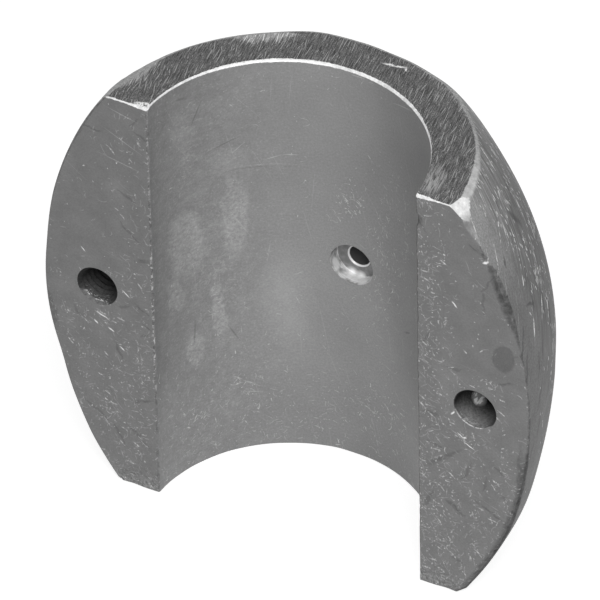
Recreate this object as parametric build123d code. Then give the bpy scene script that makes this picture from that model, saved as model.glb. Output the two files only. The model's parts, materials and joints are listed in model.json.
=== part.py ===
from build123d import *
import os
from math import radians, sqrt, tan

# One half of a two-piece zinc collar anode for a propeller shaft, in millimetres.
# The shaft axis is Z, and the middle of the collar's length is at Z = 0. This half
# lies on the +Y side, its flat split face looks towards -Y, and X runs across it.

# The collar
shaft_diameter = 55.0
collar_diameter = 101.0
end_diameter = 72.0
collar_length = 92.0
split_relief = 0.7

# Its broken edges
bore_chamfer = 0.5
upper_rim_chamfer = 0.8
lower_rim_round = 1.0
split_edge_chamfer = 0.25

# The upper corner of the split face at +X, dressed off by hand to a small flat
dressed_inward = 1.6
dressed_downward = 3.5
dressed_along_rim = 5.0

# The two screws that pull the halves together, one each side of the shaft. They lie
# this much further out than the middle of the split face's two flats.
screw_outset = 0.25
screw_hole_diameter = 8.5
screw_hole_chamfer = 0.3
head_pocket_diameter = 14.5
clamped_thickness = 11.0
thread_drill_diameter = 6.8
thread_drill_depth = 24.0
thread_mouth_diameter = 8.5
drill_point_angle = 118.0

# The stepped hole through the middle of the wall
wall_hole_diameter = 4.35
wall_hole_chamfer = 0.35
wall_counterbore_diameter = 9.0
wall_counterbore_depth = 2.75

# How far each cutter runs past the surface that it opens
overrun = 5.0

shaft_radius = shaft_diameter / 2
collar_radius = collar_diameter / 2
end_radius = end_diameter / 2
half_length = collar_length / 2
screw_offset = (shaft_radius + collar_radius) / 2 + screw_outset
through_depth = collar_radius + overrun

# The barrel's outline is one arc, through both rims and the widest point between them
barrel_rise = collar_radius - end_radius
outline_radius = (half_length**2 + barrel_rise**2) / (2 * barrel_rise)
outline_centre = collar_radius - outline_radius


def barrel_radius(height):
    """The collar's outside radius at a height above or below its middle."""
    return outline_centre + sqrt(outline_radius**2 - height**2)


def collar():
    """The whole round collar, turned from the section of its wall with the edges broken."""
    with BuildSketch(Plane.XZ) as section:
        with BuildLine():
            ThreePointArc((end_radius, -half_length), (collar_radius, 0), (end_radius, half_length))
            Polyline(
                (end_radius, half_length),
                (shaft_radius, half_length),
                (shaft_radius, -half_length),
                (end_radius, -half_length),
            )
        make_face()
        bore_corners = section.vertices().group_by(Axis.X)[0]
        lower_rim, upper_rim = section.vertices().group_by(Axis.X)[-1].sort_by(Axis.Y)
        chamfer(bore_corners, bore_chamfer)
        chamfer(upper_rim, upper_rim_chamfer)
        fillet(lower_rim, lower_rim_round)
    return revolve(section.sketch, axis=Axis.Z)


def break_split_edges(half):
    """Takes the sharpness off every edge round the two flats of the split face."""
    edges = half.edges().filter_by_position(Axis.Y, split_relief, split_relief)
    return chamfer(edges, split_edge_chamfer)


def dress_corner(half):
    """Cuts the upper corner at +X along the plane through three points on its edges."""
    on_end_face = Vector(end_radius - dressed_inward, split_relief, half_length)
    on_barrel_height = half_length - dressed_downward
    on_barrel = Vector(barrel_radius(on_barrel_height), split_relief, on_barrel_height)
    rim_y = split_relief + dressed_along_rim
    on_rim = Vector(sqrt(end_radius**2 - rim_y**2), rim_y, half_length)
    outward = (on_barrel - on_end_face).cross(on_rim - on_end_face)
    dressed_flat = Plane(origin=on_end_face, z_dir=outward)
    return split(half, bisect_by=dressed_flat, keep=Keep.BOTTOM)


def turned_cutter(profile, mouth):
    """A round cutter from (radius, depth) corners, pushed in along +Y from its mouth."""
    outline = make_face(Polyline(*profile, close=True))
    return Location(mouth) * revolve(outline, axis=Axis.Y)


def screw_hole():
    """The plain hole at +X, and behind it the round pocket for the screw's head."""
    hole = screw_hole_diameter / 2
    pocket = head_pocket_diameter / 2
    profile = [
        (0, -overrun),
        (hole + screw_hole_chamfer + overrun, -overrun),
        (hole, screw_hole_chamfer),
        (hole, clamped_thickness),
        (pocket, clamped_thickness),
        (pocket, through_depth),
        (0, through_depth),
    ]
    return turned_cutter(profile, (screw_offset, split_relief, 0))


def thread_hole():
    """The blind hole at -X, drilled for the thread, with a cone at its mouth."""
    drill = thread_drill_diameter / 2
    mouth = thread_mouth_diameter / 2
    point_depth = drill / tan(radians(drill_point_angle / 2))
    profile = [
        (0, -overrun),
        (mouth + overrun, -overrun),
        (drill, mouth - drill),
        (drill, thread_drill_depth),
        (0, thread_drill_depth + point_depth),
    ]
    return turned_cutter(profile, (-screw_offset, split_relief, 0))


def wall_hole():
    """The hole through the wall, opened out by a flat-bottomed step on the bore side."""
    hole = wall_hole_diameter / 2
    counterbore = wall_counterbore_diameter / 2
    step_floor = shaft_radius + wall_counterbore_depth
    profile = [
        (0, 0),
        (counterbore, 0),
        (counterbore, step_floor),
        (hole + wall_hole_chamfer, step_floor),
        (hole, step_floor + wall_hole_chamfer),
        (hole, through_depth),
        (0, through_depth),
    ]
    return turned_cutter(profile, (0, 0, 0))


def anode_half():
    """The cast half collar with its dressed corner and its three holes."""
    split_plane = Plane(origin=(0, split_relief, 0), z_dir=(0, 1, 0))
    half = split(collar(), bisect_by=split_plane, keep=Keep.TOP)
    half = dress_corner(break_split_edges(half))
    return half - screw_hole() - thread_hole() - wall_hole()


os.makedirs("parts", exist_ok=True)
export_step(anode_half(), "parts/anode_half.step")
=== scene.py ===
import json
import math

import bmesh
import bpy
import numpy as np
from mathutils import Matrix, Vector


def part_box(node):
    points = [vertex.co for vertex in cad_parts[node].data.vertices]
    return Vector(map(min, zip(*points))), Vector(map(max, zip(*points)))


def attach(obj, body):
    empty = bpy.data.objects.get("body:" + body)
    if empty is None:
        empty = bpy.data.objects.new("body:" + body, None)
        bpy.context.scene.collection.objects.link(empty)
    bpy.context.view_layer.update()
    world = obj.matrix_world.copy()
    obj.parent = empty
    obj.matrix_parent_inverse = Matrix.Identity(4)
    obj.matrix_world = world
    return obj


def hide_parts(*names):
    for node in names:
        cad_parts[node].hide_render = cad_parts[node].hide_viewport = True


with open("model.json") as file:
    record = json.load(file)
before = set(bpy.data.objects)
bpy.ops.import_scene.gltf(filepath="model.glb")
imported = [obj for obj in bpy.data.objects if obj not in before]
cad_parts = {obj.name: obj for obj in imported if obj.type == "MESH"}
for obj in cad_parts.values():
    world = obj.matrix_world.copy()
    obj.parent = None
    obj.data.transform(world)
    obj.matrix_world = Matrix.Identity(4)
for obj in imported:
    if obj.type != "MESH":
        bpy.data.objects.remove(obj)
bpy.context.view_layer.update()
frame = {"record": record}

# Everything below is in millimetres until a mesh is made
MM = 0.001

# The collar's sizes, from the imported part
mounts = {mount["name"]: mount for mount in frame["record"]["mounts"]}
low_corner, high_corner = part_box("anode_half")
split_y = low_corner.y / MM
half_length = high_corner.z / MM
collar_radius = high_corner.x / MM
shaft_radius = mounts["shaft_seat"]["dims"]["r_mm"]
screw_x = mounts["screw_hole"]["pos_m"][0] / MM
screw_hole_radius = mounts["screw_hole"]["dims"]["r_mm"]
thread_core_radius = mounts["thread_hole"]["dims"]["r_mm"]
wall_hole_radius = mounts["wall_hole"]["dims"]["r_mm"]

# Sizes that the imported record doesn't give
end_radius = 36.0
head_pocket_radius = 7.25
clamped_thickness = 11.0
counterbore_radius = 4.5
counterbore_floor = shaft_radius + 2.75
wall_hole_chamfer = 0.35
thread_mouth_radius = 4.25
thread_crest_radius = 4.0
thread_pitch = 1.25
thread_depth = 18.0
thread_drill_depth = 24.0
drill_point_depth = 2.0
drill_tip_radius = 0.05
dressed_inward = 1.6
dressed_downward = 3.5
dressed_along_rim = 5.0

# What wear took off the screw hole's mouth and off the small hole's step
mouth_break = 0.12
# How far a cutter runs past the surface that it opens, and where the wall's cutter starts
overrun = 2.0
wall_cutter_start = 5.0

# The barrel's outline is an arc with its centre on the line at mid-length
barrel_rise = collar_radius - end_radius
outline_radius = (half_length**2 + barrel_rise**2) / (2 * barrel_rise)
outline_centre = collar_radius - outline_radius


def barrel_radius(height):
    return outline_centre + np.sqrt(outline_radius**2 - height**2)


# How wide the upper mouth of the bore is broken, round the shaft axis
mouth_angles = [0, 15, 35, 60, 135, 160, 180]
mouth_widths = [0.05, 0.07, 0.22, 0.43, 0.44, 0.27, 0.23]
# Where the upper rim is filed more or less than elsewhere: angle, spread in degrees, extra width
rim_files = [(166, 9, 0.8), (20, 28, -0.22), (13, 15, 0.42)]
# Heights at which the right flat's outer edge is rubbed: height, spread, power of the fall, width
right_rubs = [(27.5, 7, 4, 0.8), (-28, 20, 6, 0.7)]
# Where the casting isn't quite round: angle, height, reach outwards, spread round and up
swells = [
    (170, 46, 0.6, 10, 12),
    (107, 46, 0.8, 8, 12),
    (83, 46, -0.3, 5, 12),
    (58, 45, 0.75, 7, 12),
    (180, 10, -0.3, 20, 9),
    (180, -20, -0.55, 20, 6.5),
    (180, -38, 0.45, 15, 5),
    (28, -10, -0.5, 25, 16),
    (12, -27, 0.4, 12, 6),
]
# Grooves and knocks: centre, direction, inward direction, half length, half width, depth
gouges = [
    ((6.8, 32.45, half_length), (1, 0.17, 0), (0, 0, -1), 2.4, 0.4, 0.3),
    ((-28.6, 1.2, half_length), (1, 0.2, 0), (0.3, 0.7, -1), 1.3, 0.6, 0.35),
    ((-27.7, split_y, half_length), (1, 0.3, 0), (-0.2, 1, -1), 0.6, 0.6, 0.4),
    ((27.6, split_y, 40.3), (0, 0, 1), (0.6, 1, 0), 1.2, 0.6, 0.45),
    ((43.0, split_y, 36.4), (0.3, 0, 1), (-0.6, 1, 0), 0.9, 0.6, 0.6),
    ((41.4, split_y, 35.9), (0.3, 0, 1), (0, 1, 0), 0.5, 0.5, 0.4),
    ((41.9, split_y, -3.6), (1, 0, -0.4), (0, 1, 0.4), 0.8, 0.6, 0.45),
    ((45.0, split_y, -20.0), (0, 0, 1), (-0.5, 1, 0), 1.0, 0.8, 0.6),
]

# The collar is meshed as a block bent round the shaft axis. Its mesh lines crowd
# towards every edge, where the wear is.
edge_steps = np.array([0.0, 0.12, 0.28, 0.5, 0.8, 1.2, 1.8])
lines_through_wall = 58
lines_up = 146
lines_round = 108

# How deep under the surface a swell still moves the mesh, and how sharp a shaded edge is
swell_depth = 7.0
sharp_angle = math.radians(32)
# The most that a point's wear is told as, in millimetres
wear_limit = 3.0


def spaced(count):
    """Offset and share of the length for each mesh line, so that line = offset + share * length."""
    last = edge_steps[-1]
    share = np.linspace(0, 1, count + 2)[1:-1]
    offsets = np.concatenate([edge_steps, last * (1 - 2 * share), -edge_steps[::-1]])
    shares = np.concatenate([np.zeros(len(edge_steps)), share, np.ones(len(edge_steps))])
    return offsets, shares


def block_points():
    """A place for every node of the bent block, by wall, height and angle."""
    offset, share = spaced(lines_up)
    height = offset + share * 2 * half_length - half_length
    wall = barrel_radius(height) - shaft_radius
    offset, share = spaced(lines_through_wall)
    radius = shaft_radius + offset[:, None] + share[:, None] * wall[None, :]
    start = np.arcsin(split_y / radius)
    arc = radius * (math.pi - 2 * start)
    offset, share = spaced(lines_round)
    angle = start[..., None] + (offset + share * arc[..., None]) / radius[..., None]
    x = radius[..., None] * np.cos(angle)
    y = radius[..., None] * np.sin(angle)
    z = np.broadcast_to(height[None, :, None], x.shape)
    return np.stack([x, y, z], axis=-1)


def block_skin(points):
    """The block's outer points, its faces and the name of the side that each face is on."""
    across, up, round_ = points.shape[:3]
    number = np.full((across, up, round_), -1)
    outer = np.ones((across, up, round_), bool)
    outer[1:-1, 1:-1, 1:-1] = False
    number[outer] = np.arange(outer.sum())
    sides = {
        "bore": number[0],
        "barrel": number[-1],
        "lower_end": number[:, 0],
        "upper_end": number[:, -1],
        "right_flat": number[:, :, 0],
        "left_flat": number[:, :, -1],
    }
    faces, names = [], []
    for name, grid in sides.items():
        quads = np.stack([grid[:-1, :-1], grid[1:, :-1], grid[1:, 1:], grid[:-1, 1:]], axis=-1)
        faces.append(quads.reshape(-1, 4))
        names += [name] * len(faces[-1])
    return points[outer], np.concatenate(faces), names


def side_depths(points):
    """How far inside each side every point lies, and that side's outward direction there."""
    x, y, z = points.T
    radius = np.hypot(x, y)
    radial = np.stack([x / radius, y / radius, np.zeros_like(x)], axis=-1)
    up = np.zeros_like(points)
    up[:, 2] = 1
    front = np.zeros_like(points)
    front[:, 1] = -1
    reach = np.hypot(radius - outline_centre, z)
    outward = radial * ((radius - outline_centre) / reach)[:, None] + up * (z / reach)[:, None]
    return {
        "bore": (radius - shaft_radius, -radial),
        "barrel": (outline_radius - reach, outward),
        "upper_end": (half_length - z, up),
        "lower_end": (half_length + z, -up),
        "flat": (y - split_y, front),
    }


def wavy(points, size, seed, cells=32):
    """Smooth random values from -1 to 1, in bumps about as large as size."""
    lattice = np.random.default_rng(seed).uniform(-1, 1, (cells,) * 3)
    place = points / size
    cell = np.floor(place).astype(int)
    share = place - cell
    share = share * share * (3 - 2 * share)
    total = np.zeros(len(points))
    for corner in np.ndindex(2, 2, 2):
        weight = np.where(np.array(corner), share, 1 - share).prod(axis=1)
        total += weight * lattice[tuple(((cell + corner) % cells).T)]
    return total


def bevel(points, worn, first, second, width):
    """Cuts the edge between two sides back to a flat that is as wide as told, point by point."""
    depths = side_depths(points)
    (a, out_a), (b, out_b) = depths[first], depths[second]
    facing = (out_a * out_b).sum(axis=1)
    reach = width - a - b
    np.maximum(worn, reach, out=worn)
    shift = np.clip(reach, 0, None) / (2 * (1 + facing))
    return points - (out_a + out_b) * shift[:, None]


def edge_wear(points, size, seed, least, most):
    """Widths that wander between least and most along an edge, with short bites in it."""
    slow = 0.5 + 0.5 * wavy(points, size, seed)
    bites = np.clip(wavy(points, size / 6, seed + 1) - 0.45, 0, None) * 2
    return least + (most - least) * np.clip(0.75 * slow**2 + bites, 0, 1.3)


def round_angle(points):
    return np.degrees(np.arctan2(points[:, 1], points[:, 0]))


def bump(values, centre, spread, power=2):
    """1 at the centre, falling smoothly to 0 beyond the spread."""
    return np.exp(-(((values - centre) / spread) ** power))


def rim_wear(points):
    """The upper rim: filed wide at the left and beside the dressed corner, and less between."""
    angle = round_angle(points)
    width = edge_wear(points, 9, 13, 0.35, 0.6)
    for centre, spread, more in rim_files:
        width = width + more * bump(angle, centre, spread)
    return width


def top_edge_wear(points):
    """The upper edges of the flats: broken widest at their inner ends."""
    inner_end = np.clip((np.abs(points[:, 0]) - shaft_radius) / 4, 0, 1)
    return edge_wear(points, 3, 21, 0.16, 0.34) + 0.35 * (1 - inner_end)


def outer_edge_wear(points, right):
    """The flats' edges along the barrel: even, and rubbed in two places at the right."""
    width = edge_wear(points, 5, 17, 0.2, 0.6)
    for height, spread, power, more in right_rubs:
        width = width + more * bump(points[:, 2], height, spread, power)
    return np.where(right, width, 0.35 + 0.1 * wavy(points, 6, 17))


def wear_edges(points):
    """Breaks every edge, and tells for each point how far it was cut, filed or knocked."""
    cut, filed, knocked = np.full((3, len(points)), -wear_limit)
    mouth = np.interp(round_angle(points), mouth_angles, mouth_widths)
    points = bevel(points, cut, "bore", "upper_end", mouth + 0.06 * wavy(points, 2, 11))
    points = bevel(points, filed, "barrel", "upper_end", rim_wear(points))
    points = bevel(points, cut, "upper_end", "flat", top_edge_wear(points))
    points = bevel(points, knocked, "bore", "lower_end", 0.2 + 0.1 * wavy(points, 4, 12))
    points = bevel(points, knocked, "barrel", "lower_end", edge_wear(points, 12, 15, 0.7, 1.5))
    right = points[:, 0] > 0
    points = bevel(points, filed, "barrel", "flat", 0.9 * bump(points[:, 2], 42, 2.4) * right)
    points = bevel(points, knocked, "barrel", "flat", outer_edge_wear(points, right))
    inner = edge_wear(points, 3, 19, 0.12, 0.4) + 0.12 * ~right
    points = bevel(points, knocked, "bore", "flat", inner)
    points = bevel(points, knocked, "lower_end", "flat", edge_wear(points, 3, 23, 0.2, 1.0))
    points, cut = dress_corner(points, cut)
    return points, {"cut": cut, "filed": filed, "knocked": knocked}


def dress_corner(points, cut):
    """Files the upper corner at +X down to a small flat through three points on its edges."""
    on_end = np.array([end_radius - dressed_inward, split_y, half_length])
    drop_height = half_length - dressed_downward
    on_barrel = np.array([float(barrel_radius(drop_height)), split_y, drop_height])
    rim_y = split_y + dressed_along_rim
    on_rim = np.array([math.sqrt(end_radius**2 - rim_y**2), rim_y, half_length])
    outward = np.cross(on_barrel - on_end, on_rim - on_end)
    outward /= np.linalg.norm(outward)
    over = (points - on_end) @ outward
    moved = points - outward * np.clip(over, 0, None)[:, None]
    return moved, np.maximum(cut, over)


def swell_barrel(points):
    """The casting isn't quite round: its outside stands out or falls back a little in places."""
    depth, outward = side_depths(points)["barrel"]
    angle = round_angle(points)
    reach = np.zeros(len(points))
    for centre, height, out, arc_spread, up_spread in swells:
        arc = np.radians(angle - centre) * collar_radius
        reach += out * bump(arc, 0, arc_spread) * bump(points[:, 2], height, up_spread)
    reach *= np.clip(1 - depth / swell_depth, 0, 1)
    points = points + outward * np.array([1, 1, 0]) * reach[:, None]
    points[:, 1] = np.maximum(points[:, 1], split_y)
    return points


def gouge(points, centre, along, inward, half_long, half_wide, depth):
    """Presses a short groove into the surface."""
    along = np.array(along) / np.linalg.norm(along)
    inward = np.array(inward) / np.linalg.norm(inward)
    offset = points - np.array(centre)
    run = offset @ along
    aside = np.linalg.norm(offset - run[:, None] * along, axis=1)
    share = bump(run, 0, half_long, 4) * bump(aside, 0, half_wide)
    return points + inward * (depth * share)[:, None]


def new_object(name, data):
    made = bpy.data.objects.new(name, data)
    bpy.context.scene.collection.objects.link(made)
    return made


def make_mesh(name, points, faces, sides, materials):
    """A mesh in metres whose faces take the material of the side they are on."""
    mesh = bpy.data.meshes.new(name)
    mesh.from_pydata((points * MM).tolist(), [], faces)
    slots = sorted(set(sides))
    for side in slots:
        mesh.materials.append(materials[side])
    mesh.polygons.foreach_set("material_index", [slots.index(side) for side in sides])
    shape = bmesh.new()
    shape.from_mesh(mesh)
    bmesh.ops.recalc_face_normals(shape, faces=shape.faces)
    shape.to_mesh(mesh)
    shape.free()
    return new_object(name, mesh)


def turned_cutter(name, rows, mouth, segments, material):
    """A closed cutter round a line along +Y, from rows of a depth and the radius there."""
    angle = np.arange(segments) * 2 * math.pi / segments
    cos, sin = np.cos(angle), np.sin(angle)
    rings = [np.stack([r * cos, 0 * angle + depth, r * sin], axis=1) for depth, r in rows]
    ends = np.array([[0, rows[0][0], 0], [0, rows[-1][0], 0]])
    points = np.concatenate([*rings, ends]) + np.array(mouth)
    number = np.arange(len(rows) * segments).reshape(len(rows), segments)
    beside = np.roll(number, -1, axis=1)
    walls = np.stack([number[:-1], number[1:], beside[1:], beside[:-1]], axis=-1)
    faces = walls.reshape(-1, 4).tolist()
    first = number.size
    faces += [(first, b, a) for a, b in zip(number[0].tolist(), beside[0].tolist())]
    faces += [(first + 1, a, b) for a, b in zip(number[-1].tolist(), beside[-1].tolist())]
    return make_mesh(name, points, faces, [name] * len(faces), {name: material})


def screw_hole_cutter(material):
    """The plain hole at +X with its broken mouth, and the screw-head pocket behind it."""
    hole, pocket = screw_hole_radius, head_pocket_radius
    rows = [
        (-overrun, hole + mouth_break + overrun),
        (0, hole + mouth_break),
        (mouth_break, hole),
        (clamped_thickness, hole),
        (clamped_thickness, pocket),
        (collar_radius, pocket),
    ]
    return turned_cutter("screw_hole_cutter", rows, (screw_x, split_y, 0), 56, material)


def wall_hole_cutter(material):
    """The small hole through the wall, with its flat-bottomed step on the bore side."""
    hole, step = wall_hole_radius, counterbore_radius
    rows = [
        (wall_cutter_start, step),
        (counterbore_floor - mouth_break, step),
        (counterbore_floor, step - mouth_break),
        (counterbore_floor, hole + wall_hole_chamfer),
        (counterbore_floor + wall_hole_chamfer, hole),
        (collar_radius + overrun, hole),
    ]
    return turned_cutter("wall_hole_cutter", rows, (0, 0, 0), 64, material)


def thread_hole_cutter(material, segments=48, steps=8):
    """The blind hole at -X: a cone at its mouth, the thread's turns and the drill's point."""
    turn = np.arange(segments) / segments
    rows = [(-overrun, thread_mouth_radius + overrun), (0, thread_mouth_radius)]
    for step in range(1, int(thread_depth / thread_pitch * steps)):
        depth = step * thread_pitch / steps
        along = (depth / thread_pitch - turn) % 1
        # A triangle wave, clipped to short flats at the thread's root and crest
        height = np.clip(1.25 * (1 - abs(2 * along - 1)) - 0.12, 0, 1)
        thread = thread_core_radius + (thread_crest_radius - thread_core_radius) * height
        rows.append((depth, np.maximum(thread, thread_mouth_radius - depth)))
    rows.append((thread_depth, thread_core_radius))
    rows.append((thread_drill_depth, thread_core_radius))
    rows.append((thread_drill_depth + drill_point_depth, drill_tip_radius))
    return turned_cutter("thread_hole_cutter", rows, (-screw_x, split_y, 0), segments, material)


def cut_holes(block, cutters):
    """Takes the cutters out of the block, and returns the result as the block's own mesh."""
    for cutter in cutters:
        cut = block.modifiers.new(cutter.name, "BOOLEAN")
        cut.operation = "DIFFERENCE"
        cut.solver = "EXACT"
        cut.material_mode = "TRANSFER"
        cut.object = cutter
    graph = bpy.context.evaluated_depsgraph_get()
    mesh = bpy.data.meshes.new_from_object(block.evaluated_get(graph))
    block.modifiers.clear()
    block.data = mesh
    for cutter in cutters:
        bpy.data.objects.remove(cutter)


def read(items, name, kind=int, each=1):
    """One property of all of a mesh's items."""
    values = np.zeros(len(items) * each, kind)
    items.foreach_get(name, values)
    return values


def lay_skin(mesh):
    """A UV map in millimetres: along each side, and straight through for the holes."""
    points = read(mesh.vertices, "co", float, 3).reshape(-1, 3) / MM
    x, y, z = points[read(mesh.loops, "vertex_index")].T
    names = np.array([material.name for material in mesh.materials])
    names = names[read(mesh.polygons, "material_index")]
    names = np.repeat(names, read(mesh.polygons, "loop_total"))
    angle = np.arctan2(y, x)
    across = np.where(np.char.endswith(names, "end"), x, angle * collar_radius)
    across = np.where(np.char.endswith(names, "bore"), angle * shaft_radius, across)
    across = np.where(np.char.endswith(names, "flat"), x, across)
    along = np.where(np.char.endswith(names, "end"), y, z)
    layer = mesh.uv_layers.new(name="skin")
    layer.data.foreach_set("uv", np.stack([across, along], axis=-1).ravel())


def keep_wear(mesh, wear):
    """Stores how far each point was worn, in millimetres, for the materials to read."""
    for name, reach in wear.items():
        layer = mesh.attributes.new(name, "FLOAT", "POINT")
        reach = np.clip(reach, -wear_limit, wear_limit)
        layer.data.foreach_set("value", reach.astype(np.float32))


def build_anode(materials):
    """The worn casting: the bent block with its edges worn, its corner dressed, its holes cut."""
    points, faces, sides = block_skin(block_points())
    points, wear = wear_edges(points)
    points = swell_barrel(points)
    for dent in gouges:
        points = gouge(points, *dent)
    block = make_mesh("anode_half_visual", points, faces.tolist(), sides, materials)
    keep_wear(block.data, wear)
    cutters = [
        screw_hole_cutter(materials["screw_hole"]),
        thread_hole_cutter(materials["thread_hole"]),
        wall_hole_cutter(materials["wall_hole"]),
    ]
    cut_holes(block, cutters)
    lay_skin(block.data)
    block.data.shade_smooth()
    block.data.set_sharp_from_angle(angle=sharp_angle)
    return block


class Value:
    """A number that nodes work out. Arithmetic with it adds nodes."""

    kind = "ShaderNodeMath"

    def __init__(self, nodes, socket):
        self.nodes = nodes
        self.socket = socket

    def math(self, operation, *others):
        inputs = dict(enumerate([self, *others]))
        made = self.nodes.node(self.kind, inputs, operation=operation)
        return type(self)(self.nodes, made.outputs[0])

    def __add__(self, other):
        return self.math("ADD", other)

    def __sub__(self, other):
        return self.math("SUBTRACT", other)

    def __mul__(self, other):
        return self.math("MULTIPLY", other)

    def __truediv__(self, other):
        return self.math("DIVIDE", other)

    def __rsub__(self, other):
        return self * -1.0 + other

    __radd__ = __add__
    __rmul__ = __mul__

    def __abs__(self):
        return self.math("ABSOLUTE")

    def most(self, *others):
        """The largest of this and the others."""
        result = self
        for other in others:
            result = result.math("MAXIMUM", other)
        return result

    def scale(self, low, high, low_out=0.0, high_out=1.0):
        """Goes from low_out at low to high_out at high, and stops there. Low may be above high."""
        return self.nodes.scaled(self, low, high, low_out, high_out)

    def over(self, top, share):
        """Lays top over this where share is 1."""
        return self.nodes.scaled(share, 0.0, 1.0, self, top)

    def times(self, factor, share):
        """Multiplies this by a factor where share is 1."""
        return self.over(self * factor, share)


class Place(Value):
    """A place that nodes work out, in millimetres, and the patterns found there."""

    kind = "ShaderNodeVectorMath"

    def length(self):
        made = self.nodes.node(self.kind, {0: self}, operation="LENGTH")
        return Value(self.nodes, made.outputs["Value"])

    def parts(self, kind="ShaderNodeSeparateXYZ"):
        """Its three numbers."""
        made = self.nodes.node(kind, {0: self})
        return [Value(self.nodes, socket) for socket in made.outputs]

    def turned(self, angle):
        inputs = {"Vector": self, "Angle": angle}
        made = self.nodes.node("ShaderNodeVectorRotate", inputs, rotation_type="Z_AXIS")
        return Place(self.nodes, made.outputs[0])

    def noise_node(self, size, detail, roughness):
        inputs = {"Vector": self, "Scale": 1 / size, "Detail": detail, "Roughness": roughness}
        return self.nodes.node("ShaderNodeTexNoise", inputs)

    def noise(self, size, detail=2, roughness=0.6):
        return Value(self.nodes, self.noise_node(size, detail, roughness).outputs["Fac"])

    def warped(self, size, amount):
        """The place pushed about at random, for outlines that aren't clean."""
        push = Place(self.nodes, self.noise_node(size, 3.0, 0.6).outputs["Color"])
        return self + (push - (0.5, 0.5, 0.5)) * (amount, amount, 0)

    def grain(self, direction, length, width, detail=3.0):
        """Noise drawn out along a direction, like the marks of a file or a cloth."""
        return (self.turned(-math.radians(direction)) / (length, width, 1)).noise(1.0, detail, 0.6)

    def strokes(self, cell, length, width, share, direction=0.0, spread=360.0, bend=0.0, seed=0):
        """Fine strokes, one at most in each cell, each with its own turn, length and bend."""
        place = (self + (13.7 * seed, 7.9 * seed, 0)).turned(-math.radians(direction))
        place = place / (*cell, 1)
        inputs = {"Vector": place, "Scale": 1.0}
        cells = self.nodes.node("ShaderNodeTexVoronoi", inputs, voronoi_dimensions="2D").outputs
        chance = Place(self.nodes, cells["Color"])
        turn, stretch, rank = chance.parts("ShaderNodeSeparateColor")
        offset = (place - cells["Position"]) * (*cell, 0)
        most = math.radians(spread) / 2
        along, aside, _ = offset.turned(turn.scale(0, 1, -most, most)).parts()
        curve = along * along * stretch.scale(0, 1, -bend, bend)
        reach = along / stretch.scale(0, 1, length * 0.3, length)
        taper = abs(aside + curve) / width + reach * reach
        return taper.scale(1.2, 0.6) * rank.math("LESS_THAN", share)

    def mark(self, x, y, turn, half_long, half_wide, softness):
        """One long spot: 1 inside it, and 0 from its edge on."""
        offset = (self - (x, y, 0)).turned(-math.radians(turn))
        return (offset / (half_long, half_wide, 1)).length().scale(1.0, 1 - softness)

    def marks(self, spots, softness):
        """Long spots laid together, 0 if there are none."""
        result = 0.0
        for spot in spots:
            result = self.mark(*spot, softness).most(result)
        return result

    def glow(self, centre, inner, outer):
        """A round spot: 1 within inner of its centre, and 0 beyond outer."""
        return (self - centre).length().scale(outer, inner)


class Nodes:
    """The nodes of a material or of the world."""

    def __init__(self, owner):
        owner.use_nodes = True
        self.owner = owner
        self.tree = owner.node_tree
        self.tree.nodes.clear()

    def node(self, kind, inputs=None, **settings):
        made = self.tree.nodes.new(kind)
        for name, value in settings.items():
            setattr(made, name, value)
        for name, value in (inputs or {}).items():
            if isinstance(value, Value):
                value = value.socket
            if isinstance(value, bpy.types.NodeSocket):
                self.tree.links.new(value, made.inputs[name])
            else:
                made.inputs[name].default_value = value
        return made

    def scaled(self, value, low, high, low_out, high_out):
        inputs = {"Value": value, "From Min": low, "From Max": high}
        inputs.update({"To Min": low_out, "To Max": high_out})
        return Value(self, self.node("ShaderNodeMapRange", inputs).outputs["Result"])

    def skin(self):
        """The surface's own place, along its side."""
        return Place(self, self.node("ShaderNodeUVMap", uv_map="skin").outputs[0])

    def solid(self):
        """The place in space."""
        place = Place(self, self.node("ShaderNodeTexCoord").outputs["Object"])
        return place * (1 / MM, 1 / MM, 1 / MM)

    def wear(self, name):
        """How far the surface was worn here, in millimetres: above 0 on the worn part."""
        return Value(self, self.node("ShaderNodeAttribute", attribute_name=name).outputs["Fac"])

    def seen_directly(self):
        """1 for the rays that show the surround: straight, mirrored or through."""
        paths = self.node("ShaderNodeLightPath").outputs
        straight = Value(self, paths["Is Camera Ray"])
        return straight.most(paths["Is Glossy Ray"], paths["Is Transmission Ray"])

    def finish(self, level, roughness, metallic, height=None, depth=0.04, gloss=0.2):
        """The material, from its grey level and a height map in units of depth."""
        inputs = {"Base Color": level, "Roughness": roughness, "Metallic": metallic}
        inputs["Specular IOR Level"] = gloss
        if height is not None:
            bumps = {"Height": height, "Distance": depth * MM, "Strength": 1.0}
            inputs["Normal"] = self.node("ShaderNodeBump", bumps).outputs[0]
        surface = self.node("ShaderNodeBsdfPrincipled", inputs)
        self.node("ShaderNodeOutputMaterial", {"Surface": surface.outputs[0]})
        return self.owner


# Grey levels of the zinc's surfaces, as linear colour
flat_grey = 0.19
bore_grey = 0.27
barrel_grey = 0.17
filed_grey = 0.12
rim_grey = 0.36
# The cut edges are bare metal, painted near white as a highlight as well
cut_metal_and_highlight_grey = 0.85
nick_grey = 0.5
# Painted shade: the near-black inside of the screw holes
hole_shade_grey = 0.024

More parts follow.
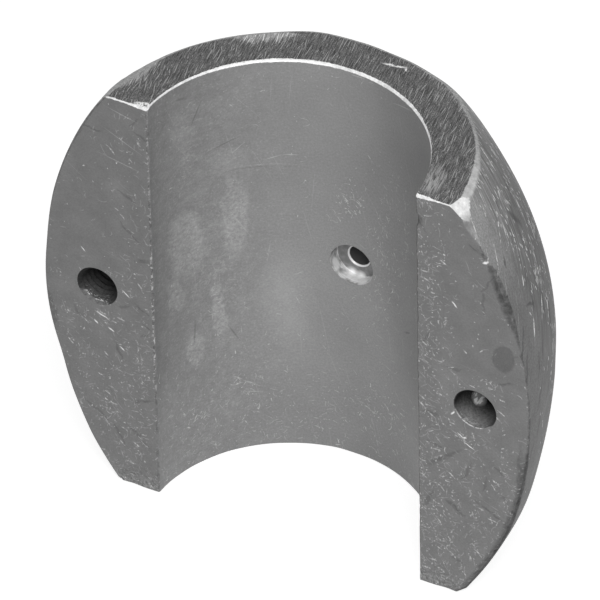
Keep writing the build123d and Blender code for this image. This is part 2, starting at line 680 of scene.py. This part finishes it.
# Marks that the photograph shows: two coordinates of the centre on the skin, turn in degrees,
# half length and half width
right_marks = {
    "smudges": [
        (30.5, -4.2, 5, 2.6, 0.4), (34.8, -25.2, -42, 3.0, 0.5), (32.9, -14.0, 42, 5.5, 0.6),
        (42.4, -23.6, -24, 4.2, 0.45), (45.4, 8.1, 20, 2.2, 0.35), (45.1, 27.4, -70, 8.5, 1.1),
        (28.4, 40.3, 85, 1.8, 0.8), (39.2, 37.9, -48, 1.9, 0.3), (40.6, 36.8, -62, 1.5, 0.35),
        (48.4, -11.0, 88, 7.0, 0.7),
    ],
    "stains": [(45.1, 14.1, 80, 3.5, 2.4)],
    "scratches": [(36.0, -7.6, -30, 2.6, 0.2)],
    "knocks": [
        (35.2, 23.3, -52, 1.0, 0.22), (42.2, 36.1, 65, 1.0, 0.4), (41.6, 35.3, 20, 0.9, 0.3),
        (43.4, 33.4, 70, 0.9, 0.25), (36.3, -7.4, -35, 1.1, 0.14), (38.0, -9.2, -28, 1.5, 0.16),
        (34.7, -2.5, 50, 0.8, 0.22), (37.1, -7.6, 15, 0.5, 0.25),
    ],
    "lights": [(44.0, -36.0, 60, 6, 3), (33.0, 5.0, 90, 9, 4)],
    "battered": [
        (37.5, -7.5, -10, 5, 2.5), (45.5, -16.0, 90, 10, 2), (33.0, -22.0, 60, 12, 3),
        (41.0, 6.5, 0, 5, 1.8),
    ],
}
left_marks = {
    "smudges": [
        (-42.5, 34.5, 55, 3.0, 0.3), (-39.0, 37.5, -10, 3.0, 0.25), (-29.5, 9.5, 10, 2.0, 0.5),
        (-29.8, -2.2, -35, 2.2, 0.35), (-28.8, -6.0, -30, 1.6, 0.3), (-30.5, -24.5, 25, 2.6, 0.45),
        (-31.5, -33.5, -45, 4.0, 0.4), (-35.0, -14.0, -75, 3.0, 0.3), (-49.2, -8.5, 103, 5.5, 1.1),
    ],
    "stains": [],
    "scratches": [
        (-32.6, 42.8, -14, 4.2, 0.13), (-32.8, 36.7, -26, 5.8, 0.12), (-33.7, 31.5, -11, 5.2, 0.12),
    ],
    "knocks": [
        (-33.2, 0.4, -42, 1.2, 0.16), (-39.8, -8.6, -45, 0.7, 0.25), (-38.4, -6.6, -18, 1.8, 0.18),
        (-36.6, -9.4, -30, 0.9, 0.22), (-42.0, 8.0, -45, 0.8, 0.14), (-34.4, -13.2, -40, 0.8, 0.2),
    ],
    "lights": [(-46.8, 26.5, 70, 13, 5), (-35.0, 24.5, 60, 4, 2.6)],
    "battered": [(-38.5, -7.6, 0, 4.5, 2.6), (-35.0, -11.0, -30, 3, 2), (-37.0, -28.0, -70, 14, 3)],
}
# Painted light: soft lighter zones of the bore where more light falls, each with its factor on the
# grey level
bore_painted_lights = [
    ((54.0, -16.0, 90, 38, 25), 1.2), ((28.0, -3.0, 90, 34, 18), 1.25),
    ((74.0, 12.0, 90, 38, 13), 1.2),
]
bore_blooms = [
    (65.4, 10.5, 89, 11.0, 3.0), (76.0, 8.0, 78, 9.5, 5.0), (79.0, -2.5, 80, 5.0, 2.6),
    (69.3, -10.5, 84, 8, 1.6), (74.5, -18.0, 88, 5, 2.2),
]
bore_hazes = [(76.5, 36.0, 80, 10, 4), (66.2, 23.5, 40, 6, 3.5), (56.0, -10.0, 90, 14, 6)]
bore_veins = [(70.0, 0.0, 88, 26, 9), (74.0, 30.0, 80, 12, 5)]
bore_battered = [
    (37.0, -32.0, 0, 10, 5), (64.3, -31.0, 50, 5, 2.2), (74.0, -34.0, 50, 7, 3),
    (30.5, 14.0, 90, 16, 3), (44.0, 15.0, 115, 10, 4), (36.0, 2.0, 95, 22, 6),
    (69.5, -11.0, 84, 8, 2.0),
]
# Groups of bright strokes: where they lie, and the direction of the strokes
bore_struck = [
    ((44.0, 12.5, 100, 7, 3.5), 45), ((74.0, -33.8, -40, 4.5, 2), -50),
    ((64.3, -31.0, 10, 3, 1.8), 5), ((35.0, -32.4, 0, 7, 1.5), 20),
]
bore_dark_scratches = [
    (76.2, 42.4, 15, 1.8, 0.35), (72.8, 37.4, 116, 3.6, 0.2), (67.2, 28.2, -15, 4.1, 0.15),
    (60.0, 21.3, 2, 13, 0.07), (66.3, -17.1, 63, 3.3, 0.2), (74.5, -14.0, 95, 3.5, 0.3),
    (29.5, -9.0, -30, 1.4, 0.3),
]
bore_pale_scratches = [
    (58.0, 23.3, -17, 1.9, 0.14), (54.7, 23.9, 0, 1.7, 0.14), (64.5, 26.5, -40, 2.2, 0.1),
    (60.0, 21.8, 2, 13, 0.04), (41.3, 45.1, -3, 1.8, 0.15), (29.9, 44.1, -18, 4.0, 0.15),
    (63.5, -30.0, 30, 1.6, 0.22), (65.5, -28.5, 35, 1.3, 0.18), (62.6, -32.5, 12, 1.7, 0.16),
]
barrel_smudges = [
    (19.0, 34.3, -58, 3.6, 1.0), (8.8, 22.2, -25, 2.2, 0.4), (6.0, 33.0, 60, 2.0, 0.35),
    (17.0, 12.0, 70, 5.0, 0.6),
]
barrel_streaks = [
    (19.5, 40.0, 30, 2.6, 0.3), (10.3, 37.4, 37, 3.4, 0.22), (18.8, 30.6, 65, 2.2, 0.26),
    (15.6, 28.0, 90, 1.8, 0.25), (16.4, 22.8, 50, 3.0, 0.32), (14.0, 18.1, 45, 3.0, 0.26),
    (9.3, 26.5, 55, 1.6, 0.2),
]
upper_nicks = [
    (6.8, 32.45, 9, 2.7, 0.38), (9.2, 32.3, -60, 0.8, 0.22), (-28.8, 1.7, 15, 2.0, 0.8),
    (-27.0, 3.6, 70, 1.6, 0.35),
]
# Paler filed patches of the end face, along the rim: angle, spread in degrees, reach, strength
upper_patches = [(164, 13, 2.2, 0.9), (122, 15, 3.0, 1.0), (58, 20, 0.7, 0.5)]
# Where light catches the holes: centre in space, reach, and for the step its grey level
screw_glints = [((36.6, 7.3, -3.3), 1.8)]
step_glints = [
    ((-1.4, 29.9, -4.2), 1.5, 1.0),
    ((0.4, 29.8, -4.3), 1.3, 0.95),
    ((1.9, 28.4, -4.1), 1.3, 1.0),
    ((3.6, 28.8, -2.7), 1.1, 0.95),
    ((-4.1, 28.7, -1.8), 1.2, 0.9),
]
# The direction of the file's strokes, of the trails of nicks and of the barrel's rubbing
filing_direction = 100
trail_direction = -66
rubbing_direction = 60


def new_material(name):
    return Nodes(bpy.data.materials.new(name))


def dulled(place, level, size, amount):
    """The oxide's soft mottle and fine grain on a grey level."""
    soft = place.noise(size, 3, 0.6).scale(0.3, 0.7, 1 - amount, 1 + amount)
    fine = place.noise(0.4, 3, 0.7).scale(0.3, 0.7, 0.88, 1.12)
    return level * soft * fine


def with_knocked_edges(level, ragged, smear):
    """The knocked edges: dull, dented metal, painted darker as shade at the right, with bright
    specks by the bore at the left.
    """
    place = level.nodes.solid()
    x, _, z = place.parts()
    at_left = x.scale(-shaft_radius - 2, -shaft_radius - 1) * x.scale(1, 0)
    at_left = at_left * z.scale(-25, -15)
    beside_bore = x.scale(20, 21) * x.scale(30, 29)
    rubbed_and_shaded = z.scale(17, 22) * z.scale(35.5, 33.5) + z.scale(-4, -10)
    rubbed_and_shaded = rubbed_and_shaded * x.scale(34, 36)
    dents = place.noise(1.3).scale(0.35, 0.6, 0.55, 0.95)
    # Painted shade: the right flat's rubbed outer edges and its edge beside the bore are darkened
    shaded_dents = dents * rubbed_and_shaded.scale(0, 1, 0.45, 0.7)
    dull_and_shaded_metal = level * beside_bore.most(rubbed_and_shaded).scale(0, 1, dents, shaded_dents)
    specks = place.noise(0.8).scale(0.53, 0.61) * at_left.scale(0, 1, 0.05, 1.0)
    dull_and_shaded_metal = dull_and_shaded_metal.over(z.scale(5, 25, nick_grey, nick_grey * 0.65), specks)
    knocked = level.nodes.wear("knocked") + ragged
    knocked = knocked.scale(rubbed_and_shaded.scale(0, 1, -0.05, -smear), rubbed_and_shaded.scale(0, 1, 0.05, smear))
    return level.over(dull_and_shaded_metal, knocked)


def with_filed_edges(level, ragged, metal, soft):
    """The filed rim: rough at the left, and smooth and brighter towards the dressed corner."""
    place = level.nodes.solid()
    x, y, z = place.parts()
    filed = (level.nodes.wear("filed") + ragged).scale(-soft, 0.06) * z.scale(39, 43)
    to_corner = x.scale(26, 34) * y.scale(24, 8)
    rough = place.noise(0.45, 3, 0.75).scale(0.36, 0.64, 0.6, 1.3)
    rough = rough.over(1.0, to_corner)
    bright = to_corner.scale(0, 1, 1.1 * rim_grey, 1.55 * rim_grey)
    return level.over(metal * rough * bright, filed)


def with_cut_edges(level, ragged, metal):
    """The cut of the upper edges and dressed corner: bare metal painted near white as a highlight,
    broken up where the bore's mouth is thin.
    """
    place = level.nodes.solid()
    x, y, _ = place.parts()
    thin_mouth = x.scale(22, 26) * x.scale(30, 29) * y.scale(1.5, 3.0)
    broken = place.noise(0.7, 3, 0.7).scale(0.4, 0.6, 0.0, 0.5)
    cut = (level.nodes.wear("cut") + ragged).scale(-0.04, 0.04)
    cut = cut * thin_mouth.scale(0, 1, 1.0, broken)
    return level.over(metal * cut_metal_and_highlight_grey, cut)


def with_worn_edges(level, soft=0.06, smear=0.05):
    """Lays the metal of the worn edges over a side's own grey. It is duller below the rim."""
    place = level.nodes.solid()
    ragged = place.noise(0.6, 3, 0.7).scale(0.3, 0.7, -0.1, 0.1)
    streaky = place.noise(1.0, 3, 0.7).scale(0.3, 0.7, 0.75, 1.15)
    metal = streaky * place.parts()[2].scale(44.4, 43.0, 1.0, 0.42)
    level = with_knocked_edges(level, ragged, smear)
    level = with_filed_edges(level, ragged, metal, soft)
    return with_cut_edges(level, ragged, metal)


def flat_dirt_and_painted_light(place, marks):
    """A flat's dull grey, with its smudges, stains, lighter zones and long scratches, and painted
    light towards its foot.
    """
    level = dulled(place, flat_grey, 4, 0.09)
    rough_place = place.warped(2.5, 2.0)
    patchy = place.noise(1.2, 3, 0.7).scale(0.3, 0.55)
    level = level.times(0.68, rough_place.marks(marks["smudges"], 0.5) * patchy)
    stain = place.warped(1.5, 0.9).marks(marks["stains"], 0.15)
    level = level.times(0.72, stain)
    level = level.times(1.14, place.marks(marks["lights"], 1.0))
    streak = rough_place.strokes((8, 5), 4, 0.3, 0.3, bend=0.02, seed=3)
    level = level.times(0.78, streak * (1 - stain))
    hair = place.strokes((10, 4), 6, 0.08, 0.16, direction=-22, spread=30, seed=5)
    level = level.times(1.2, hair)
    level = level.times(1.7, place.marks(marks["scratches"], 0.7))
    # Painted light: the flat is made lighter towards its foot
    return level * place.parts()[1].scale(-46, 25, 1.14, 1.0)


def with_flat_nicks(place, level, battered, side, crowding):
    """Lays the bright nicks on a flat, and returns them too, for its height."""
    x, z, _ = place.parts()
    near_bore = (x * side).scale(shaft_radius + 8, shaft_radius)
    hit = place.marks(battered, 0.8)
    clusters = place.grain(trail_direction, 7, 1.8).scale(0.47, 0.57, 0.07, 1.0)
    beside = near_bore * clusters.scale(0, 1, 0.35, 1.0) * crowding
    crowd = clusters * (z.scale(10, -40) * 0.6 + 0.1 + hit * 0.7) + beside
    curls = place.strokes((1.9, 1.9), 1.9, 0.1, crowd * 2.0, bend=0.35, seed=13)
    level = level.times(1.45, curls)
    veil = place.strokes((1.2, 1.2), 0.8, 0.1, crowd * 1.7, bend=1.0, seed=11)
    level = level.times(1.5, veil)
    nicks = place.strokes((2.1, 2.1), 1.0, 0.13, crowd * 0.8, bend=0.6, seed=1)
    small = place.strokes((1.1, 1.1), 0.28, 0.15, crowd * 0.9, bend=1.5, seed=2)
    share = (crowd * 0.5).most(hit * 0.8)
    long = place.strokes((3.2, 2.4), 1.6, 0.18, share, -30, 60, 0.25, seed=14)
    nicks = nicks.most(small, long)
    shine = place.noise(0.5).scale(0.42, 0.7, 0.5, 1.5)
    return level.over(shine * nick_grey, nicks), nicks


def flat_zinc(name, marks, side, crowding):
    """A split flat, at side 1 or -1: dull grey, with bright nicks that crowd towards the bore."""
    nodes = new_material(name)
    place = nodes.skin()
    level = flat_dirt_and_painted_light(place, marks)
    level, nicks = with_flat_nicks(place, level, marks["battered"], side, crowding)
    foot = place.noise(0.7, 3, 0.7).scale(0.36, 0.64, 0.62, 1.45)
    level = level.times(foot, place.parts()[1].scale(-41.0, -44.5))
    ragged = place.warped(0.6, 0.35)
    level = level.over(nick_grey * 1.7, ragged.marks(marks["knocks"], 0.6))
    level = with_worn_edges(level, smear=0.5)
    height = nicks + place.noise(0.5) * 0.5
    return nodes.finish(level, 0.5, 0.2, height, 0.03)


def bore_oxide_and_painted_light(place):
    """The seat's pale grey, with zones of painted light, and its bloom, hazes and veins of oxide.
    """
    arc = place.parts()[0]
    level = dulled(place, bore_grey, 14, 0.06)
    # Painted light: the seat is made lighter in soft zones where more light falls on it
    for spot, more in bore_painted_lights:
        level = level * place.mark(*spot, 1.0).scale(0, 1, 1.0, more)
    rough_place = place.warped(4, 4)
    grainy = place.noise(0.7, 3, 0.7).scale(0.38, 0.62, 0.2, 1.0)
    level = level.times(1.36, rough_place.marks(bore_blooms, 0.3) * grainy)
    mottle = place.noise(2.2, 4, 0.75).scale(0.35, 0.65, 0.9, 1.1)
    level = level.times(mottle, arc.scale(52, 68))
    level = level.times(1.2, rough_place.marks(bore_hazes, 1.0))
    ridge = abs(place.noise(5.0, 4, 0.6) - 0.5)
    vein = ridge.scale(0.02, 0.0) * place.marks(bore_veins, 0.8)
    level = level.times(1.35, vein * grainy)
    return level * arc.scale(83, 86, 1.0, 0.88)


def bore_nicks(place, crowd):
    """Short bright nicks where crowd is high, and the groups of struck ones."""
    nicks = place.strokes((1.8, 1.8), 1.2, 0.09, crowd, 60, 150, 0.3, seed=6)
    nicks = nicks.most(place.strokes((0.9, 0.9), 0.2, 0.09, crowd, seed=7))
    patchy = place.noise(1.2).scale(0.42, 0.55)
    for seed, (area, direction) in enumerate(bore_struck, 40):
        share = patchy * place.mark(*area, 0.8)
        struck = place.strokes((1.9, 1.1), 1.3, 0.13, share, direction, 40, 0.2, seed)
        nicks = nicks.most(struck)
    return nicks


def bore_zinc(name):
    """The shaft seat: smooth and paler, with a bloom of white oxide and few fine scratches."""
    nodes = new_material(name)
    place = nodes.skin()
    arc, z, _ = place.parts()
    level = bore_oxide_and_painted_light(place)
    level = level.times(0.72, place.marks(bore_dark_scratches, 0.7))
    level = level.times(1.5, place.marks(bore_pale_scratches, 0.7))
    hair = place.strokes((12, 4), 7, 0.08, 0.3, direction=75, spread=50, seed=4)
    level = level.times(1.15, hair)
    specks = place.noise(0.6, 2, 0.7).scale(0.56, 0.68) * arc.scale(45, 70, 0.3, 0.9)
    level = level.times(1.25, specks)
    battered = z.scale(-46, -15, 0.45, 0.03) + place.marks(bore_battered, 0.8) * 0.8
    crowd = place.noise(2.5, 3, 0.6).scale(0.45, 0.6, 0.02, 1.0) * battered
    veil = place.strokes((1.3, 1.3), 1.1, 0.07, crowd * 2.0, bend=0.5, seed=12)
    level = level.times(1.45, veil)
    nicks = bore_nicks(place, crowd)
    shine = place.noise(0.7).scale(0.35, 0.72, 0.6, 1.5)
    level = with_worn_edges(level.over(shine * nick_grey, nicks))
    height = nicks + place.noise(0.5) * 0.3
    return nodes.finish(level, 0.45, 0.25, height, 0.02)


def barrel_glints(place, crowd):
    """Long glints and short specks where crowd is high, and the photograph's own streaks."""
    broken = place.noise(1.0, 3, 0.7).scale(0.42, 0.52)
    glints = place.strokes((20, 2.4), 8.0, 0.2, crowd, rubbing_direction, 10, seed=9)
    streaks = place.warped(2, 0.5).marks(barrel_streaks, 0.6)
    specks = place.strokes((2.2, 0.9), 0.9, 0.12, crowd * 0.6, 80, 60, seed=10)
    return (glints * broken).most(streaks * broken, specks)


def barrel_zinc(name):
    """The outside: smooth beside the right flat, then beaten, with long slanting scratches and
    painted light and shade.
    """
    nodes = new_material(name)
    place = nodes.skin()
    arc, z, _ = place.parts()
    level = dulled(place, barrel_grey, 6, 0.12)
    # Painted light and shade: lighter towards the upper rim and beside the right flat, darker low
    # down and towards the outline past the flat, and lifted again round the back
    level = level * z.scale(26, 42, 0.87, 1.6) * z.scale(-12, 10, 0.72, 0.84)
    level = level * arc.scale(7, 13, 1.3, 1.06) * arc.scale(15, 28, 1.0, 0.66)
    behind = arc.scale(33, 48)
    level = level * behind.scale(0, 1, 1.0, 1.55)
    left_flat = math.pi * collar_radius - 3
    beaten = arc.scale(7, 13) * arc.scale(left_flat, left_flat - 6)
    beaten = beaten * z.scale(-5, 20, 0.3, 1.0)
    drawn = place.grain(rubbing_direction, 9, 0.5).scale(0.32, 0.68, 0.45, 1.45)
    level = level.times(drawn, beaten)
    grit = place.noise(0.45, 2, 0.7).scale(0.36, 0.64, 0.84, 1.2)
    level = (level * grit).over(level, beaten)
    level = level * place.grain(rubbing_direction, 3, 0.2).scale(0.3, 0.7, 0.85, 1.15)
    rough_place = place.warped(2.5, 1.5)
    level = level.times(0.5, rough_place.marks(barrel_smudges, 0.6))
    dark = rough_place.strokes((12, 2.5), 6, 0.4, 0.35, rubbing_direction, 20, seed=8)
    level = level.times(0.65, dark)
    thinned = behind * place.noise(16, 3, 0.6).scale(0.4, 0.62, 1.0, 0.35)
    clusters = place.noise(5.0, 2, 0.5).scale(0.42, 0.56)
    crowd = clusters * (beaten + 0.12) * thinned.scale(0, 1, 1.0, 0.15)
    hairs = place.strokes((14, 0.8), 7.0, 0.1, crowd, rubbing_direction, 10, seed=15)
    level = level.times(1.7, hairs)
    glints = barrel_glints(place, crowd)
    shine = place.grain(rubbing_direction, 4, 0.8, 2).scale(0.38, 0.6, 0.5, 2.0)
    level = with_worn_edges(level.over(shine * nick_grey, glints), 0.5)
    return nodes.finish(level, 0.55, 0.2, glints + drawn * 0.7, 0.04)


def with_filed_patches(place, level, patches, jagged):
    """Paler patches of an end face, with jagged ends, kept a little off the rim at the top."""
    x, y, _ = place.parts()
    inward = end_radius - place.length()
    angle = y.math("ARCTAN2", x)
    at_top = x.scale(-21, -12) * x.scale(10, 5)
    off_the_rim = (inward - at_top.scale(0, 1, -1.0, 0.7)).scale(0.0, 0.4)
    for degrees, spread, reach, share in patches:
        away = abs(angle - math.radians(degrees))
        limit = away.scale(math.radians(spread) * 0.3, math.radians(spread), reach, -1.2)
        patch = (limit + jagged - inward).scale(-0.4, 0.7) * off_the_rim * share
        level = level.over(level * 2.0 + 0.14, patch)
    return level


def filed_zinc(name, patches, nicks, seed):
    """A sawn and filed end: dark, with dense scratches across it and paler filed patches."""
    nodes = new_material(name)
    place = nodes.skin()
    rough = place.grain(filing_direction, 3, 0.16).scale(0.35, 0.65, 0.3, 1.7)
    cross = place.grain(filing_direction - 9, 2, 0.25).scale(0.35, 0.65, 0.65, 1.35)
    pits = place.noise(0.3, 2, 0.7).scale(0.35, 0.65, 0.55, 1.45)
    level = dulled(place, filed_grey, 5, 0.12) * rough * cross * pits
    fine = place.strokes((2.2, 0.4), 1.1, 0.05, 0.5, filing_direction, 40, seed=seed + 2)
    level = level.times(1.8, fine)
    clusters = place.noise(2.0).scale(0.4, 0.6, 0.25, 0.8)
    cuts = place.strokes((5, 0.6), 2.8, 0.075, clusters, filing_direction, 26, seed=seed + 1)
    level = level.over(0.4, cuts)
    jagged = place.grain(filing_direction, 3, 0.3, 2).scale(0.35, 0.65, -0.9, 0.9)
    level = with_filed_patches(place, level, patches, jagged)
    corner = place.mark(28.5, 5.5, 105, 5, 2.6, 0.8) * jagged.scale(-0.6, 0.4)
    level = level.over(0.42, corner)
    nicked = place.warped(0.7, 0.5).marks(nicks, 0.4)
    nicked = place.noise(0.5).scale(0.38, 0.5) * nicked
    level = with_worn_edges(level.over(cut_metal_and_highlight_grey, nicked))
    return nodes.finish(level, 0.5, 0.2, rough + cuts, 0.03)


def dark_hole_zinc(name, centre_x, lit_wall, chipped, glints):
    """A screw hole: painted black inside as shade, with painted light low on its wall, chipped and
    pale low in its mouth.
    """
    nodes = new_material(name)
    place = nodes.solid()
    x, y, z = place.parts()
    depth = y - split_y
    aside = x - centre_x
    rough = place.noise(0.5, 3, 0.7)
    uneven = rough.scale(0.3, 0.7, 0.6, 1.4)
    # Painted shade: the hole is near black inside, and darker still deeper in
    level = uneven * depth.scale(0.3, 6.3, 1.0, 0.5) * hole_shade_grey
    # Painted light on the lower wall near the mouth
    lit = (aside * -0.2 - z).scale(0.8, 4.2) * depth.scale(7.3, 1.8)
    level = level.over(uneven * lit_wall, lit)
    low = (aside * -0.25 - z).scale(2.2, 3.8)
    drawn_out = place * (0.45, 1.0, 1.0)
    chips = drawn_out.noise(0.34, 3, 0.7).scale(0.57, 0.62)
    chips = chips * low * depth.scale(2.6, 0.8, 0.0, chipped)
    level = level.over(nick_grey * 1.1, chips)
    torn = drawn_out.noise(0.55, 3, 0.75).scale(0.52, 0.57, 0.0, chipped)
    lip = depth.scale(1.15, 0.95) * low.scale(0.4, 0.8)
    level = level.over(nick_grey * 1.7, lip * torn)
    worn = depth.scale(0.65, 0.45) * low.scale(0.3, 0.7, 0.0, chipped)
    level = level.over(uneven * flat_grey * 0.85, worn)
    in_pocket = depth.scale(clamped_thickness - 0.3, clamped_thickness - 0.1)
    level = level.over(uneven * barrel_grey, in_pocket)
    drawn = (place * (1, 0.3, 1)).noise(0.6, 2, 0.5).scale(0.5, 0.56, 0.4, 1.0)
    # Painted highlights where light catches the hole's wall
    for centre, radius in glints:
        level = level.over(drawn, place.glow(centre, radius * 0.6, radius))
    rim = depth.scale(0.18, 0.12) * low.scale(0, 1, 0.1, 1.0) * (1 - chipped)
    level = level.over(rough.scale(0.42, 0.58, flat_grey, nick_grey * 1.6), rim)
    return nodes.finish(level, 0.5, 0.0, rough, 0.05, gloss=0.06)


def wall_hole_zinc(name):
    """The small stepped hole: a turned step with painted light and highlights, a white rim, and a
    hole beyond it painted dark as shade.
    """
    nodes = new_material(name)
    place = nodes.solid()
    x, y, z = place.parts()
    past_floor = y - counterbore_floor
    on_floor = past_floor.scale(-0.1, -0.05)
    rings = (place * (0.3, 4, 0.3)).noise(1.0).scale(0.3, 0.7)
    patchy = place.noise(1.7).scale(0.38, 0.62, 0.5, 1.25)
    # Painted light: the turned wall is lighter low down, where light falls on it, and darker above
    wall = rings.scale(0, 1, 0.85, 1.1) * patchy * 0.74 * z.scale(2.5, -1.0, 0.4, 1.0)
    floor = rings.scale(0, 1, 0.75, 1.1) * x.scale(-3, 1, 0.3, 0.27)
    floor = floor * patchy.scale(0.5, 1.25, 0.8, 1.15)
    level = wall.over(floor, on_floor)
    # Painted highlights where light catches the step
    for centre, reach, bright in step_glints:
        level = level.over(bright, place.glow(centre, reach * 0.3, reach))
    radius = (place * (1, 0, 1)).length()
    on_rim = radius.scale(wall_hole_radius + 0.3, wall_hole_radius + 0.24) * on_floor
    level = level.over(0.95, on_rim)
    # Painted shade: the hole beyond the step is dark grey
    level = level.over(0.12, past_floor.scale(0.3, 0.45))
    return nodes.finish(level, 0.35, 0.1)


def make_materials():
    """The zinc of each side and hole. Each name ends with its side, by which the mesh finds it."""
    return {
        "bore": bore_zinc("zinc_bore"),
        "barrel": barrel_zinc("zinc_barrel"),
        "upper_end": filed_zinc("zinc_upper_end", upper_patches, upper_nicks, 20),
        "lower_end": filed_zinc("zinc_lower_end", [], [], 30),
        "right_flat": flat_zinc("zinc_right_flat", right_marks, 1, 0.9),
        "left_flat": flat_zinc("zinc_left_flat", left_marks, -1, 0.25),
        "screw_hole": dark_hole_zinc("zinc_screw_hole", screw_x, 0.22, 0.3, screw_glints),
        "thread_hole": dark_hole_zinc("zinc_thread_hole", -screw_x, 0.085, 1.0, []),
        "wall_hole": wall_hole_zinc("zinc_wall_hole"),
    }


# The floor reaches this far in metres, and lies this far under the anode in millimetres, so
# that the two faces don't coincide
floor_reach = 8.0
floor_gap = 0.05
floor_grey = 0.5
floor_glow = 0.76
ambient_light = 0.38


def make_floor():
    """A wide pale floor that looks white to the camera and keeps the anode's shadow."""
    mesh = bpy.data.meshes.new("floor")
    height = low_corner.z - floor_gap * MM
    signs = [(-1, -1), (1, -1), (1, 1), (-1, 1)]
    corners = [(x * floor_reach, y * floor_reach, height) for x, y in signs]
    mesh.from_pydata(corners, [], [(0, 1, 2, 3)])
    nodes = new_material("pale_floor")
    matt = nodes.node("ShaderNodeBsdfDiffuse", {"Color": (floor_grey, floor_grey, floor_grey, 1)})
    glow = nodes.node("ShaderNodeEmission", {"Strength": nodes.seen_directly() * floor_glow})
    both = nodes.node("ShaderNodeAddShader", {0: matt.outputs[0], 1: glow.outputs[0]})
    nodes.node("ShaderNodeOutputMaterial", {"Surface": both.outputs[0]})
    mesh.materials.append(nodes.owner)
    floor = new_object("floor", mesh)


def make_world():
    """A white surround to look at and to reflect, and a dimmer one to be lit by."""
    nodes = Nodes(bpy.data.worlds.new("studio"))
    bpy.context.scene.world = nodes.owner
    strength = nodes.seen_directly().scale(0, 1, ambient_light, 1.0)
    light = nodes.node("ShaderNodeBackground", {"Color": (1, 1, 1, 1), "Strength": strength})
    nodes.node("ShaderNodeOutputWorld", {"Surface": light.outputs[0]})


# The photograph's camera: its direction from the anode and its tilt in degrees, and its place
camera_azimuth = 28.62
camera_elevation = 39.53
camera_roll = -1.20
camera_distance = 63.0 * shaft_radius
camera_aside = 0.1144 * shaft_radius
camera_above = 0.3312 * shaft_radius
camera_lens = 566.3


def direction(azimuth, elevation):
    """The direction from the anode to a viewer: degrees round from the split face, and up."""
    a, e = math.radians(azimuth), math.radians(elevation)
    return Vector((math.sin(a) * math.cos(e), -math.cos(a) * math.cos(e), math.sin(e)))


def make_camera():
    back = direction(camera_azimuth, camera_elevation)
    level_right = direction(camera_azimuth + 90, 0)
    level_up = back.cross(level_right)
    cos, sin = math.cos(math.radians(camera_roll)), math.sin(math.radians(camera_roll))
    right = level_right * cos + level_up * sin
    up = level_up * cos - level_right * sin
    data = bpy.data.cameras.new("camera")
    data.lens = camera_lens
    data.sensor_width = 36.0
    data.clip_end = 100.0
    camera = new_object("camera", data)
    place = right * camera_aside + up * camera_above + back * camera_distance
    turn = Matrix((right, up, back)).transposed().to_4x4()
    camera.matrix_world = Matrix.Translation(place * MM) @ turn
    bpy.context.scene.camera = camera


def make_lamp(name, azimuth, elevation, distance, size, power):
    """A square soft lamp that faces the anode."""
    data = bpy.data.lights.new(name, "AREA")
    data.size = size
    data.energy = power
    lamp = new_object(name, data)
    back = direction(azimuth, elevation)
    lamp.location = back * distance
    lamp.rotation_mode = "QUATERNION"
    lamp.rotation_quaternion = (-back).to_track_quat("-Z", "Y")


anode = build_anode(make_materials())
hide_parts("anode_half")
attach(anode, "root")

make_floor()
make_camera()
make_world()
make_lamp("key", azimuth=36, elevation=46, distance=0.7, size=0.5, power=3.6)

scene = bpy.context.scene
scene.view_settings.view_transform = "Standard"
